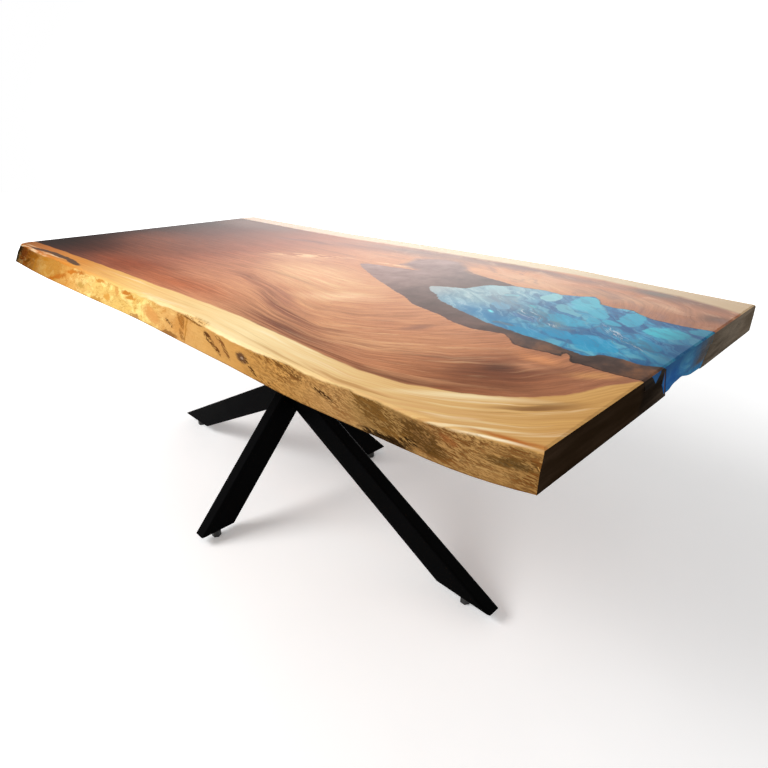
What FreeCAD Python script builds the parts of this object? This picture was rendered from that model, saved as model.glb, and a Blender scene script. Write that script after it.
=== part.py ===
import FreeCAD, Part
import math
import os

# Live edge dining table: one hardwood slab with a cast resin river, on a welded spider base of
# rectangular tube. Millimetres, +Z up, +X towards the end where the resin runs out, origin on the
# floor under the middle of the table.

V = FreeCAD.Vector
os.makedirs("parts", exist_ok=True)

# Overall
table_height = 760.0
slab_length = 2034.0
slab_width = 985.0
slab_thickness = 58.0

# Slab edges
top_arris = 5.0
corner_radius = 18.0
edge_belly = 4.0

# River of resin
shelf_depth = 19.0
shelf_slope_run = 12.0
resin_recess = 5.0
fin_thickness = 6.0
fin_length = 90.0
fin_cover = 4.0
fin_lean = 22.0

# Base tubes, crossing at the hub
hub_x = -36.0
hub_y = -40.0
hub_height = 380.0
tube_depth = 80.0
tube_width = 40.0
tube_wall = 3.0
tube_corner = 5.0
foot_end_inset = 329.0
foot_side_inset = 175.0

# Mount plates between the upper arms and the slab
plate_thickness = 6.0
plate_corner_cut = 8.0
plate_margin = 13.0
slot_width = 9.0
slot_length = 19.0
slot_side_gap = 17.0

# Bolts and threaded inserts
bolt_diameter = 8.0
bolt_engagement = 13.0
bolt_across_flats = 13.0
bolt_head_height = 5.3
insert_diameter = 12.0
insert_length = 16.0
thread_clearance = 0.05
insert_clearance = 0.05
bolt_end_room = 1.5

# Levelling feet
foot_plate_thickness = 4.0
foot_across_flats = 24.0
foot_height = 23.0
foot_lift = 4.5
foot_socket_depth = 14.0
stud_diameter = 10.0
stud_hole_clearance = 0.6
stud_above_nut = 9.0
weld_nut_across_flats = 17.0
weld_nut_height = 8.0

# Worked out from the sizes above
half_length = slab_length / 2
half_width = slab_width / 2
foot_run_along = half_length - foot_end_inset
foot_run_across = half_width - foot_side_inset
slab_bottom = table_height - slab_thickness
plate_bottom = slab_bottom - plate_thickness
floor_cut = foot_height + foot_lift
foot_plate_top = floor_cut + foot_plate_thickness
leg_drop = hub_height - floor_cut
arm_rise = plate_bottom - hub_height
slope_along = math.atan2(leg_drop, foot_run_along)
slope_across = math.atan2(leg_drop, foot_run_across)
arm_run_along = arm_rise / math.tan(slope_along)
arm_run_across = arm_rise / math.tan(slope_across)
tube_print_along = tube_depth / math.sin(slope_along)
tube_print_across = tube_depth / math.sin(slope_across)

# Live edges: share of the half length, then how far the top and the underside stand in from the
# half width. The underside reaches further out, as on a slab cut from the log's outer side.
NEAR_EDGE = [
    (-1.0, 35, 3), (-0.87, 31, 0), (-0.60, 32, 0), (-0.34, 34, 7), (-0.10, 39, 16),
    (0.05, 40, 18), (0.20, 36, 16), (0.385, 20, 16), (0.58, 18, 14), (0.77, 22, 23),
    (0.90, 35, 33), (1.0, 66, 58),
]
FAR_EDGE = [
    (-1.0, 8, 0), (-0.81, 14, 3), (-0.48, 25, 12), (-0.19, 29, 17), (0.0, 18, 7),
    (0.29, 13, 4), (0.48, 13, 5), (0.58, 18, 10), (0.675, 34, 28), (0.77, 48, 43),
    (0.87, 61, 57), (1.0, 75, 73),
]

# River outlines, from the near side round the left tips to the far side: distance from the right
# end of the slab, then distance from its middle line. The shelf is what the resin covers at the
# top. The channel leaves the shelf's floor with rough, angular walls and breaks through the
# underside at the outlet, whose corners pair with the channel's one by one.
SHELF = [
    (-40, -151), (57, -157), (110, -157), (129, -132), (155, -142), (222, -146), (269, -114),
    (331, -130), (379, -123), (429, -103), (505, -88), (578, -49), (625, -32), (674, -8),
    (770, 36), (852, 81), (893, 104), (916, 124), (890, 141), (852, 147), (805, 154), (752, 167),
    (775, 183), (825, 212), (841, 275), (800, 322), (723, 330), (664, 290), (605, 242),
    (509, 221), (449, 204), (379, 215), (331, 208), (272, 240), (233, 194), (166, 195),
    (111, 160), (57, 156), (-40, 163),
]
CHANNEL = [
    (-40, -74), (57, -89), (118, -114), (201, -96), (276, -88), (379, -65), (468, -32),
    (537, 12), (598, 60), (527, 96), (509, 150), (449, 178), (379, 190), (331, 184),
    (272, 210), (218, 168), (150, 165), (90, 136), (-40, 138),
]
OUTLET = [
    (-40, -46), (57, -58), (118, -80), (165, -76), (205, -62), (235, -42), (258, -15),
    (272, 15), (280, 50), (268, 75), (255, 95), (238, 112), (220, 124), (200, 132),
    (178, 138), (155, 136), (125, 130), (85, 116), (-40, 112),
]


def spline(points):
    """A smooth edge through the given points."""
    curve = Part.BSplineCurve()
    curve.interpolate(points)
    return curve.toShape()


def slab_outline(depth, ease):
    """The slab's closed outline at one depth below its top, drawn in all round by the ease."""
    top_share = 1 - depth / slab_thickness
    belly = edge_belly * 4 * top_share * (1 - top_share)
    height = table_height - depth
    end = half_length - ease

    def side(stations, sign):
        reach = [half_width - ease + belly - top_share * top - (1 - top_share) * bottom
                 for share, top, bottom in stations]
        points = [V(share * end, sign * out, height)
                  for (share, top, bottom), out in zip(stations, reach)]
        points[0].x += corner_radius
        corner_end = V(-end, points[0].y - sign * corner_radius, height)
        slack = corner_radius * (1 - math.sqrt(0.5))
        corner_middle = V(-end + slack, points[0].y - sign * slack, height)
        corner = Part.Arc(corner_end, corner_middle, points[0]).toShape()
        return points, corner, corner_end

    near, near_corner, near_end = side(NEAR_EDGE, -1)
    far, far_corner, far_end = side(FAR_EDGE, 1)
    return Part.Wire([near_corner, spline(near), Part.makeLine(near[-1], far[-1]), spline(far),
                      far_corner, Part.makeLine(far_end, near_end)])


def slab_block():
    """The slab before the river is let in: flared live edges with an eased arris at the top."""
    bends = (90, 40, 0)
    arris = [(top_arris * (1 - math.sin(math.radians(bend))),
              top_arris * (1 - math.cos(math.radians(bend)))) for bend in bends]
    levels = arris + [(slab_thickness * share, 0) for share in (0.45, 1.0)]
    outlines = [slab_outline(depth, ease) for depth, ease in reversed(levels)]
    return Part.makeLoft(outlines, True, True)


def inward(points, distance):
    """The same open outline moved towards its inside, which lies on its right-hand side."""
    moved = []
    for index, point in enumerate(points):
        before = points[max(index - 1, 0)]
        after = points[min(index + 1, len(points) - 1)]
        along = V(after.x - before.x, after.y - before.y, 0).normalize()
        moved.append(point + V(along.y, -along.x, 0) * distance)
    return moved


def river_points(outline):
    return [V(half_length - from_end, offset, 0) for from_end, offset in outline]


def closed_outline(points, height):
    corners = [V(p.x, p.y, height) for p in points]
    return Part.makePolygon(corners + corners[:1])


def end_fin():
    """The thin fin of wood that stands in the resin at the right end, leaning into the river."""
    root = half_length - fin_length
    top_y = CHANNEL[0][1]
    corners = [
        V(root, top_y, table_height - fin_cover),
        V(root, top_y + fin_thickness, table_height - fin_cover),
        V(root, top_y + fin_thickness + fin_lean, slab_bottom),
        V(root, top_y + fin_lean, slab_bottom),
    ]
    face = Part.Face(Part.makePolygon(corners + corners[:1]))
    return face.extrude(V(2 * fin_length, 0, 0))


def river_void():
    """The natural void that the resin fills: a sloping shelf, a channel and its outlet below."""
    shelf = river_points(SHELF)
    floor = table_height - shelf_depth
    shelf_part = Part.makeLoft([closed_outline(inward(shelf, shelf_slope_run), floor),
                                closed_outline(shelf, table_height)], True, True)
    channel_part = Part.makeLoft([closed_outline(river_points(OUTLET), slab_bottom),
                                  closed_outline(river_points(CHANNEL), floor)], True, True)
    return shelf_part.fuse(channel_part).cut(end_fin())


def insert_holes():
    """Blind holes drilled up from the underside, through wood and resin alike."""
    radius = insert_diameter / 2 + insert_clearance
    depth = insert_length + bolt_end_room
    return Part.makeCompound([round_bar(radius, depth, V(x, y, slab_bottom))
                              for x, y in bolt_places()])


def slab_and_resin():
    """The slab with its void and insert holes, and the resin cast in it."""
    drilled = slab_block().cut(insert_holes())
    void = river_void()
    below = Part.makeBox(slab_length, slab_width, resin_recess,
                         V(-half_length, -half_width, slab_bottom))
    return drilled.cut(void), drilled.common(void).cut(below)


def round_bar(radius, length, base):
    return Part.makeCylinder(radius, length, base)


def hexagon_bar(across_flats, length, base):
    corner = across_flats / math.sqrt(3)
    corners = [base + V(corner * math.cos(math.radians(60 * i)),
                        corner * math.sin(math.radians(60 * i)), 0) for i in range(6)]
    return Part.Face(Part.makePolygon(corners + corners[:1])).extrude(V(0, 0, length))


# Base: every tube is a straight bar through the hub, kept between two heights.

def hub_bar(heading, slope, inset=0.0):
    """A bar through the hub that rises by the slope towards its heading, both in degrees."""
    reach = slab_length
    width = tube_width - 2 * inset
    depth = tube_depth - 2 * inset
    blank = Part.makeBox(2 * reach, width, depth, V(-reach, -width / 2, -depth / 2))
    if not inset:
        long_edges = [e for e in blank.Edges if e.BoundBox.XLength > reach]
        blank = blank.makeFillet(tube_corner, long_edges)
    blank.rotate(V(0, 0, 0), V(0, 1, 0), -slope)
    blank.rotate(V(0, 0, 0), V(0, 0, 1), heading)
    blank.translate(V(hub_x, hub_y, hub_height))
    return blank


def zone(low, high, side=None):
    """All space between two heights, on one side of the hub where a side is given."""
    size = 4 * slab_length
    box = Part.makeBox(size, size, high - low, V(-size / 2, -size / 2, low))
    if side == "near":
        box.translate(V(0, hub_y - size / 2, 0))
    if side == "far":
        box.translate(V(0, hub_y + size / 2, 0))
    return box


def base_bars():
    """The outside, the inside and the wall of each of the four crossing bars."""
    along = math.degrees(slope_along)
    across = math.degrees(slope_across)
    courses = {"to_right": (0, along), "to_left": (180, along),
               "to_far": (90, across), "to_near": (270, across)}
    outside = {name: hub_bar(*course) for name, course in courses.items()}
    inside = {name: hub_bar(*course, inset=tube_wall) for name, course in courses.items()}
    wall = {name: outside[name].cut(inside[name]) for name in courses}
    return outside, inside, wall


def base_tubes(outside, wall):
    """One through tube, two halves coped to it, and four arms coped and mitred at the hub."""
    legs = (floor_cut, hub_height)
    arms = (hub_height, plate_bottom)
    through = outside["to_right"]
    long_frame = through.fuse(outside["to_left"])
    return {
        "through_tube": wall["to_right"].common(zone(floor_cut, plate_bottom)),
        "right_half_tube": wall["to_left"].common(zone(*legs)).cut(through),
        "left_half_tube": wall["to_left"].common(zone(*arms)).cut(through),
        "far_upper_arm": wall["to_far"].common(zone(*arms, "far")).cut(long_frame),
        "near_upper_arm": wall["to_near"].common(zone(*arms, "near")).cut(long_frame),
        "near_lower_leg": wall["to_far"].common(zone(*legs, "near")).cut(long_frame),
        "far_lower_leg": wall["to_near"].common(zone(*legs, "far")).cut(long_frame),
    }


def hub_reach(run_along, run_across):
    """The four places at one height: their names and plan positions about the hub."""
    return {
        "right": (hub_x + run_along, hub_y),
        "left": (hub_x - run_along, hub_y),
        "near": (hub_x, hub_y - run_across),
        "far": (hub_x, hub_y + run_across),
    }


def foot_plates(inside):
    """Plates set inside the slanted tubes, flush with the floor cut."""
    legs = {"right": "to_left", "left": "to_right", "near": "to_far", "far": "to_near"}
    flush = zone(floor_cut, foot_plate_top)
    hole_radius = stud_diameter / 2 + stud_hole_clearance
    plates = {}
    for name, (x, y) in hub_reach(foot_run_along, foot_run_across).items():
        hole = round_bar(hole_radius, table_height, V(x, y, 0))
        plates[name] = inside[legs[name]].common(flush).cut(hole)
    return plates


def weld_nut(x, y):
    """Plain hexagonal weld nut on top of a foot plate."""
    body = hexagon_bar(weld_nut_across_flats, weld_nut_height, V(x, y, foot_plate_top))
    return body.cut(round_bar(stud_diameter / 2 + thread_clearance, table_height, V(x, y, 0)))


def levelling_foot(x, y):
    """Hexagonal foot, turned with a spanner, with a blind socket for the stud's end."""
    socket_floor = foot_height - foot_socket_depth
    socket = round_bar(stud_diameter / 2 + thread_clearance, foot_height, V(x, y, socket_floor))
    return hexagon_bar(foot_across_flats, foot_height, V(x, y, 0)).cut(socket)


def levelling_stud(x, y):
    """Threaded stud from the foot's socket up through the foot plate and the weld nut."""
    low = foot_height - foot_socket_depth
    high = foot_plate_top + weld_nut_height + stud_above_nut
    return round_bar(stud_diameter / 2, high - low, V(x, y, low))


# Mount plates, bolts and inserts under the slab

def slot_offsets(name):
    """Slot centres about a plate's centre: on each side of the tube's footprint."""
    side = tube_width / 2 + slot_side_gap
    if name in ("right", "left"):
        return [(0, -side), (0, side)]
    return [(-side, 0), (side, 0)]


def plate_places():
    return hub_reach(arm_run_along, arm_run_across)


def bolt_places():
    return [(x + dx, y + dy) for name, (x, y) in plate_places().items()
            for dx, dy in slot_offsets(name)]


def slot_cutter(x, y):
    """A slot that runs across the table, so that the slab can swell and shrink on its bolts."""
    radius = slot_width / 2
    travel = slot_length - slot_width
    low = plate_bottom - plate_thickness
    ends = [round_bar(radius, 3 * plate_thickness, V(x, y + s * travel / 2, low)) for s in (-1, 1)]
    middle = Part.makeBox(slot_width, travel, 3 * plate_thickness,
                          V(x - radius, y - travel / 2, low))
    return ends[0].fuse([ends[1], middle])


def mount_plate(name, x, y):
    """Plate that covers the level footprint of a slanted tube, with a slot on each side of it."""
    offsets = slot_offsets(name)
    along = name in ("right", "left")
    print_x = tube_print_along if along else tube_width
    print_y = tube_width if along else tube_print_across
    reach_x = max(max(dx for dx, dy in offsets) + slot_width / 2, print_x / 2) + plate_margin
    reach_y = max(max(dy for dx, dy in offsets) + slot_length / 2, print_y / 2) + plate_margin
    plate = Part.makeBox(2 * reach_x, 2 * reach_y, plate_thickness,
                         V(x - reach_x, y - reach_y, plate_bottom))
    upright = [e for e in plate.Edges if e.BoundBox.ZLength > plate_thickness / 2]
    plate = plate.makeChamfer(plate_corner_cut, upright)
    for dx, dy in offsets:
        plate = plate.cut(slot_cutter(x + dx, y + dy))
    return plate


def mounting_bolt(x, y):
    """Hexagon head bolt, up through the slot into the insert."""
    head = hexagon_bar(bolt_across_flats, bolt_head_height,
                       V(x, y, plate_bottom - bolt_head_height))
    shank = round_bar(bolt_diameter / 2, plate_thickness + bolt_engagement, V(x, y, plate_bottom))
    return head.fuse(shank)


def threaded_insert(x, y):
    """Insert flush with the slab's underside."""
    outside = round_bar(insert_diameter / 2, insert_length, V(x, y, slab_bottom))
    bore = round_bar(bolt_diameter / 2 + thread_clearance, insert_length, V(x, y, slab_bottom))
    return outside.cut(bore)


def build():
    nodes = {}
    nodes["slab"], nodes["resin_river"] = slab_and_resin()
    outside, inside, wall = base_bars()
    nodes.update(base_tubes(outside, wall))
    for name, plate in foot_plates(inside).items():
        nodes["foot_plate_" + name] = plate
    for name, (x, y) in hub_reach(foot_run_along, foot_run_across).items():
        nodes["levelling_stud_" + name] = levelling_stud(x, y)
        nodes["levelling_foot_" + name] = levelling_foot(x, y)
    feet = hub_reach(foot_run_along, foot_run_across).values()
    nodes["weld_nuts"] = Part.makeCompound([weld_nut(x, y) for x, y in feet])
    for name, (x, y) in plate_places().items():
        nodes["mount_plate_" + name] = mount_plate(name, x, y)
    nodes["mounting_bolts"] = Part.makeCompound([mounting_bolt(x, y) for x, y in bolt_places()])
    nodes["threaded_inserts"] = Part.makeCompound([threaded_insert(x, y)
                                                   for x, y in bolt_places()])
    return nodes


for node, shape in build().items():
    shape.exportStep("parts/" + node + ".step")
    print(node, len(shape.Solids), shape.isValid(), round(shape.Volume / 1000, 1), "cm3")
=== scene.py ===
# %% [markdown]
# A live edge dining table: one thick slab of dark heartwood with pale sapwood along both bark sides, a
# river of blue resin cast into it, and a welded base of black rectangular tube on levelling feet. The
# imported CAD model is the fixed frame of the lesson. It holds every sub-part at its real place and size,
# so the work here is the finish: carving the slab's edges, and giving wood, resin and steel their looks.

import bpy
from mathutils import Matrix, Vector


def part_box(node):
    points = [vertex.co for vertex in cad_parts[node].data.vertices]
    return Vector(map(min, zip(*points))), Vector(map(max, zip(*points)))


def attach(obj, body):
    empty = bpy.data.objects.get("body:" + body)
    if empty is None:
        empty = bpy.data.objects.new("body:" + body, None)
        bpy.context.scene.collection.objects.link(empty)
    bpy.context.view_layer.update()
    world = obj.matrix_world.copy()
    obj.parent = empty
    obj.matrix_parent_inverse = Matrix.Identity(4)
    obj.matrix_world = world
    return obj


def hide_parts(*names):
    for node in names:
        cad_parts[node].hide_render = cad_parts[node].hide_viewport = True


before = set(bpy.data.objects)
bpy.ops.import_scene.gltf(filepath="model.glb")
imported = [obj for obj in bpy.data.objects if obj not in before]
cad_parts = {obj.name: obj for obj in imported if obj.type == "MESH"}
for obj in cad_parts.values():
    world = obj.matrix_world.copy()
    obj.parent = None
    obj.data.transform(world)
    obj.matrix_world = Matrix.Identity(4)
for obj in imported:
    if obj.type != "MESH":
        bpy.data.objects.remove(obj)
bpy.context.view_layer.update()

# %% [markdown]
# The rest of the tools come with Blender. `bmesh` edits meshes, `mathutils.noise` gives a smooth random
# value for any place, the same each time it is asked, and `numpy` measures many points at once.

# %% Tools
import math

import bmesh
import bpy
import numpy as np
from mathutils import Matrix, Vector, noise

slab_low, slab_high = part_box("slab")
top = slab_high.z
underside = slab_low.z
right_end = slab_high.x
left_end = slab_low.x
print("the slab is", round(slab_high.x - slab_low.x, 3), "m long and its top stands at", round(top, 3))


# %% [markdown]
# A finish is a tree of shader nodes. Wired by hand it takes many clicks, so each finish is mixed in a pot,
# a small class that keeps a node to one short call: it adds the node, joins what it is given, and hands
# back the output. A pot has clouds, soft steps, torn edges and soft ovals, and lays one colour over another.
# Every pattern starts from Object coordinates, which lie still on the piece whatever looks at it.

# %% A pot for each finish
# A little over half the slab's length, so that a colour that drifts along it reaches both ends.
HALF_LENGTH = 1.02


def colour(code):
    """A colour written as on a paint card, such as #8a5a3c, in the linear values that a shader takes."""
    parts = [int(code[i:i + 2], 16) / 255 for i in (1, 3, 5)]
    return tuple(c / 12.92 if c < 0.04045 else ((c + 0.055) / 1.055) ** 2.4 for c in parts) + (1.0,)


class Finish:
    """One material, or the studio's surround, mixed in a pot of its own."""

    def __init__(self, name, kind="materials"):
        self.material = getattr(bpy.data, kind).new(name)
        self.material.use_nodes = True
        self.tree = self.material.node_tree
        self.skin = self.tree.nodes.get("Principled BSDF") or self.tree.nodes["Background"]
        self.place = self.node("TexCoord").outputs["Object"]

    def node(self, kind, inputs=(), **settings):
        made = self.tree.nodes.new("ShaderNode" + kind)
        for name, value in settings.items():
            setattr(made, name, value)
        for key, value in dict(inputs).items():
            self.give(made.inputs[key], value)
        return made

    def give(self, socket, value):
        """Joins an output to a socket, or writes a plain value into it."""
        if isinstance(value, bpy.types.NodeSocket):
            self.tree.links.new(value, socket)
        else:
            socket.default_value = value

    def read(self, value):
        """An axis by its letter, a mark on the mesh by its name, and anything else as it is."""
        if not isinstance(value, str):
            return value
        if value in "XYZ":
            return self.node("SeparateXYZ", {0: self.place}).outputs["XYZ".index(value)]
        return self.node("Attribute", attribute_name=value).outputs["Fac"]

    def sheen(self, look, rough, shine=0.0, **values):
        """Sets the shader's own sockets: colour, roughness and mirror shine, then any by their names."""
        values.update(Base_Color=look, Roughness=rough, Specular_IOR_Level=shine)
        for name, value in values.items():
            self.give(self.skin.inputs[name.replace("_", " ")], value)
        return self.material

    def sum(self, kind, first, second=0.5, third=0.5):
        terms = {0: self.read(first), 1: self.read(second), 2: self.read(third)}
        return self.node("Math", terms, operation=kind).outputs[0]

    def times(self, first, *others):
        for other in others:
            first = self.sum("MULTIPLY", first, other)
        return first

    def most(self, first, *others):
        for other in others:
            first = self.sum("MAXIMUM", first, other)
        return first

    def along(self):
        """How far along the slab: 0 at its left end, 1 at its right."""
        return self.node("MapRange", {0: self.read("X"), 1: -HALF_LENGTH, 2: HALF_LENGTH}).outputs[0]

    def point(self, x, y, z=0.0):
        return self.node("CombineXYZ", {0: self.read(x), 1: self.read(y), 2: z}).outputs[0]

    def framed(self, turn, size, middle=(0, 0, 0), of=None):
        """The place as read in a frame with a middle, a turn in degrees and a size of its own."""
        angles = tuple(math.radians(a) for a in turn)
        made = self.node("Mapping", {"Vector": of or self.place, "Location": middle, "Rotation": angles,
                                     "Scale": size}, vector_type="TEXTURE")
        return made.outputs[0]

    def turned(self, stretch, turn=(0, 0, 0), of=None):
        """The place in axes that are turned and then stretched: more is finer."""
        return self.framed(turn, tuple(1 / s for s in stretch), of=of)

    def reach(self, of):
        return self.node("VectorMath", {0: of}, operation="LENGTH").outputs["Value"]

    def step(self, value, low, high, end=1.0, start=0.0):
        """A smooth change from start to end as the value goes from low to high."""
        made = self.node("MapRange", {0: self.read(value), 1: low, 2: high, 3: start, 4: end},
                         interpolation_type="SMOOTHSTEP")
        return made.outputs[0]

    def cloud(self, scale, detail=3.0, roughness=0.5, bend=0.0, turn=(0, 0, 0), of=None):
        """Soft noise round 0.5. Three scales stretch it along axes that can be turned."""
        if isinstance(scale, tuple):
            of = self.turned(scale, turn, of)
            scale = 1.0
        made = self.node("TexNoise", {"Vector": of or self.place, "Scale": scale, "Detail": detail,
                                      "Roughness": roughness, "Distortion": bend})
        return made.outputs["Fac"]

    def torn(self, value, amount, scale, detail=3.0):
        """A value pushed up unevenly by a cloud, so that a step on it gets a torn edge."""
        return self.sum("MULTIPLY_ADD", self.cloud(scale, detail), amount, value)

    def push(self, scale, amount, detail=2.0, of=None):
        """The place, pushed about by a cloud: it makes straight patterns wander."""
        of = of or self.place
        made = self.node("TexNoise", {"Vector": of, "Scale": scale, "Detail": detail})
        shift = self.node("VectorMath", {0: made.outputs["Color"], 1: (0.5, 0.5, 0.5)}, operation="SUBTRACT")
        longer = self.node("VectorMath", {0: shift.outputs[0], "Scale": amount}, operation="SCALE")
        return self.node("VectorMath", {0: of, 1: longer.outputs[0]}, operation="ADD").outputs[0]

    def ramp(self, value, stops):
        """Colours along a value: pairs of a position and a colour."""
        made = self.node("ValToRGB", {0: value})
        marks = made.color_ramp.elements
        while len(marks) < len(stops):
            marks.new(0.5)
        for stop, (position, code) in zip(marks, stops):
            stop.position = position
            stop.color = colour(code)
        return made.outputs[0]

    def lay(self, under, over, *shares, how="MIX"):
        """One colour laid over another, as thick as all the shares multiplied."""
        pick = [colour(c) if isinstance(c, str) else c for c in (under, over)]
        made = self.node("Mix", {0: self.times(*shares), 6: pick[0], 7: pick[1]}, data_type="RGBA",
                         blend_type=how)
        return made.outputs[2]

    def spot(self, x, y, reach_x, reach_y, turn=0.0, of=None):
        """A soft oval in plan, in millimetres: 1 at its middle, 0 past its reach."""
        size = (reach_x / 1000, reach_y / 1000, 1e3)
        near = self.framed((0, 0, turn), size, (x / 1000, y / 1000, 0), of)
        return self.step(self.reach(near), 1.0, 0.0)

    def spots(self, under, table, of, *shares):
        """Each oval of a table, laid on a colour in its own tone."""
        for *oval, tone in table:
            under = self.lay(under, tone, self.spot(*oval, of), *shares)
        return under

    def bump(self, height, depth, strength=1.0):
        made = self.node("Bump", {"Height": height, "Distance": depth, "Strength": strength})
        self.give(self.skin.inputs["Normal"], made.outputs[0])


print("a paint card's #8a5a3c is", [round(c, 3) for c in colour("#8a5a3c")])

# %% [markdown]
# The slab is sawn from a log, so its colours follow lines that belong to the tree: where the dark
# heartwood ends and the pale sapwood begins, and where the hollow was that the resin filled. Each line is
# a short list of corners in plan, in millimetres. From them every point of the top gets a
# few measures, kept as attributes on the mesh: how deep it lies in the heartwood, among the growth rings,
# in the river and in the river's blue channel.

# %% The tree's own lines
def in_metres(corners):
    return [(x / 1000, y / 1000) for x, y in corners]


NEAR_SAPWOOD = in_metres([
    (-1200, -420), (-900, -412), (-700, -404), (-400, -398), (-100, -394), (100, -390), (250, -388),
    (400, -396), (550, -408), (690, -415), (780, -400), (850, -372), (920, -325), (955, -281), (975, -236),
    (990, -196), (1015, -151), (1100, -60),
])
FAR_SAPWOOD = in_metres([
    (-1200, 432), (-800, 415), (-450, 400), (-200, 401), (0, 412), (100, 416), (300, 420), (500, 422),
    (600, 420), (700, 411), (830, 390), (880, 382), (950, 358), (1015, 327), (1100, 290),
])
FAR_BANK = [
    (638, 215), (686, 208), (720, 221), (745, 242), (768, 221), (784, 194), (816, 187), (851, 195),
    (878, 173), (906, 160), (960, 156), (1015, 163), (1080, 163),
]
RIVER_BANK = in_metres([
    (1080, -151), (1015, -151), (960, -157), (919, -152), (902, -159), (888, -130), (871, -123),
    (878, -144), (851, -144), (813, -151), (789, -147), (768, -127), (748, -113), (686, -130), (638, -123),
    (588, -103), (521, -89), (490, -81), (439, -49), (392, -32), (343, -8), (294, 14), (247, 36), (196, 64),
    (165, 81), (130, 101), (102, 122), (117, 136), (151, 146), (206, 153), (274, 170), (196, 196),
    (176, 284), (225, 324), (294, 330), (323, 314), (353, 290), (372, 266), (412, 242), (466, 228),
    (508, 221), (568, 204), *FAR_BANK,
])
BLUE_WATER = in_metres([
    (1080, -74), (1015, -74), (988, -93), (960, -89), (923, -91), (909, -113), (899, -116), (851, -103),
    (816, -96), (784, -96), (741, -89), (686, -80), (638, -65), (588, -47), (549, -32), (508, -15),
    (480, 12), (439, 36), (417, 60), (446, 84), (490, 101), (497, 119), (511, 167), (568, 201), *FAR_BANK,
])

# Growth rings, from the outermost in: along the near side, round the bend by the river, and back.
RING_LINES = [in_metres(line) for line in [
    [(-1300, -355), (-300, -340), (0, -335), (200, -345), (350, -365), (500, -383), (650, -375),
     (760, -330), (860, -260), (905, -190), (920, -120), (930, 100), (900, 280), (800, 345), (600, 385),
     (-1300, 395)],
    [(-1300, -310), (-300, -285), (0, -275), (200, -295), (350, -335), (520, -355), (630, -325),
     (740, -260), (810, -190), (845, -120), (850, 100), (800, 250), (700, 310), (500, 345), (-1300, 350)],
    [(-1300, -265), (-300, -235), (0, -215), (150, -240), (300, -290), (470, -315), (560, -275),
     (660, -200), (730, -120), (750, 0), (740, 120), (700, 220), (600, 280), (400, 305), (-1300, 310)],
    [(-1300, -215), (-300, -185), (0, -165), (200, -210), (380, -250), (470, -220), (550, -155), (600, -90),
     (620, 0), (610, 100), (570, 180), (470, 230), (300, 260), (-1300, 260)],
    [(-1300, -165), (-300, -130), (0, -120), (200, -155), (330, -175), (420, -130), (475, -60), (490, 20),
     (470, 100), (420, 160), (300, 200), (-1300, 210)],
    [(-1300, -115), (-300, -80), (0, -70), (150, -90), (270, -110), (335, -85), (375, -40), (385, 30),
     (360, 100), (280, 150), (100, 165), (-1300, 165)],
    [(-1300, -60), (-300, -25), (0, -10), (200, -20), (300, -10), (330, 30), (300, 80), (100, 110),
     (-1300, 120)],
]]
RING_STEP = 0.05


def away_from(line, places, closed=False):
    """How far each place is from a line, in plan."""
    corners = np.array(line + line[:1] if closed else line)
    best = np.full(len(places), 9.0)
    for start, end in zip(corners[:-1], corners[1:]):
        along = end - start
        share = np.clip((places - start) @ along / (along @ along), 0, 1)
        best = np.minimum(best, np.linalg.norm(places - start - share[:, None] * along, axis=1))
    return best


def inside(line, places):
    """Which places a closed line goes round: a ray from them crosses it an odd number of times."""
    corners = np.array(line)
    odd = np.zeros(len(places), bool)
    for (ax, ay), (bx, by) in zip(corners, np.roll(corners, -1, axis=0)):
        crosses = (ay > places[:, 1]) != (by > places[:, 1])
        if ay != by:
            odd ^= crosses & (places[:, 0] < ax + (places[:, 1] - ay) * (bx - ax) / (by - ay))
    return odd


def depth_in(line, places):
    """How deep each place lies inside a closed line, and below 0 outside it."""
    return np.where(inside(line, places), 1, -1) * away_from(line, places, closed=True)


def ring_depth(places):
    """How deep each place lies among the rings: even steps from one drawn ring to the next."""
    loops = [NEAR_SAPWOOD + FAR_SAPWOOD[::-1], *RING_LINES]
    depths = [depth_in(loop, places) for loop in loops]
    deep = depths[0] / RING_STEP
    for number, (outer, inner) in enumerate(zip(depths[:-1], depths[1:])):
        between = (outer >= 0) & (inner < 0)
        share = outer / np.maximum(outer - inner, 1e-6)
        deep = np.where(between, number + share, deep)
    middle = depths[-1] >= 0
    return RING_STEP * np.where(middle, len(loops) - 1 + depths[-1] / RING_STEP, deep)


def mark_wood(piece):
    """Keeps the tree's measures on a piece, one value for each of its points."""
    places = np.array([v.co.xy for v in piece.data.vertices])
    near = away_from(NEAR_SAPWOOD, places)
    far = away_from(FAR_SAPWOOD, places)
    in_heart = np.where(inside(NEAR_SAPWOOD + FAR_SAPWOOD[::-1], places), 1, -1)
    measures = {
        "heart": in_heart * np.minimum(near, far),
        "rings": ring_depth(places),
        "river": depth_in(RIVER_BANK, places),
        "water": depth_in(BLUE_WATER, places),
    }
    for name, values in measures.items():
        kept = piece.data.attributes.new(name, "FLOAT", "POINT")
        kept.data.foreach_set("value", values.astype(np.float32))


sample = depth_in(RIVER_BANK, np.array([(0.6, 0.1), (0.0, 0.0)]))
print("depth in the river at two places:", sample.round(3))


# %% [markdown]
# The slab's blank is already in the frame, river bed and bolt holes included, so the carving starts from
# a copy of it. The frame keeps each mesh as loose triangles, so the copy is merged first. Then planes cut
# it into strips, as a saw would, because a mesh can only be carved where it has points.

# %% Copying and slicing a blank
def blank_of(node):
    """A merged copy of one sub-part's mesh."""
    shape = bmesh.new()
    shape.from_mesh(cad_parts[node].data)
    bmesh.ops.remove_doubles(shape, verts=shape.verts, dist=2e-5)
    bmesh.ops.dissolve_limit(shape, angle_limit=math.radians(0.3), verts=shape.verts, edges=shape.edges)
    return shape


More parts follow.
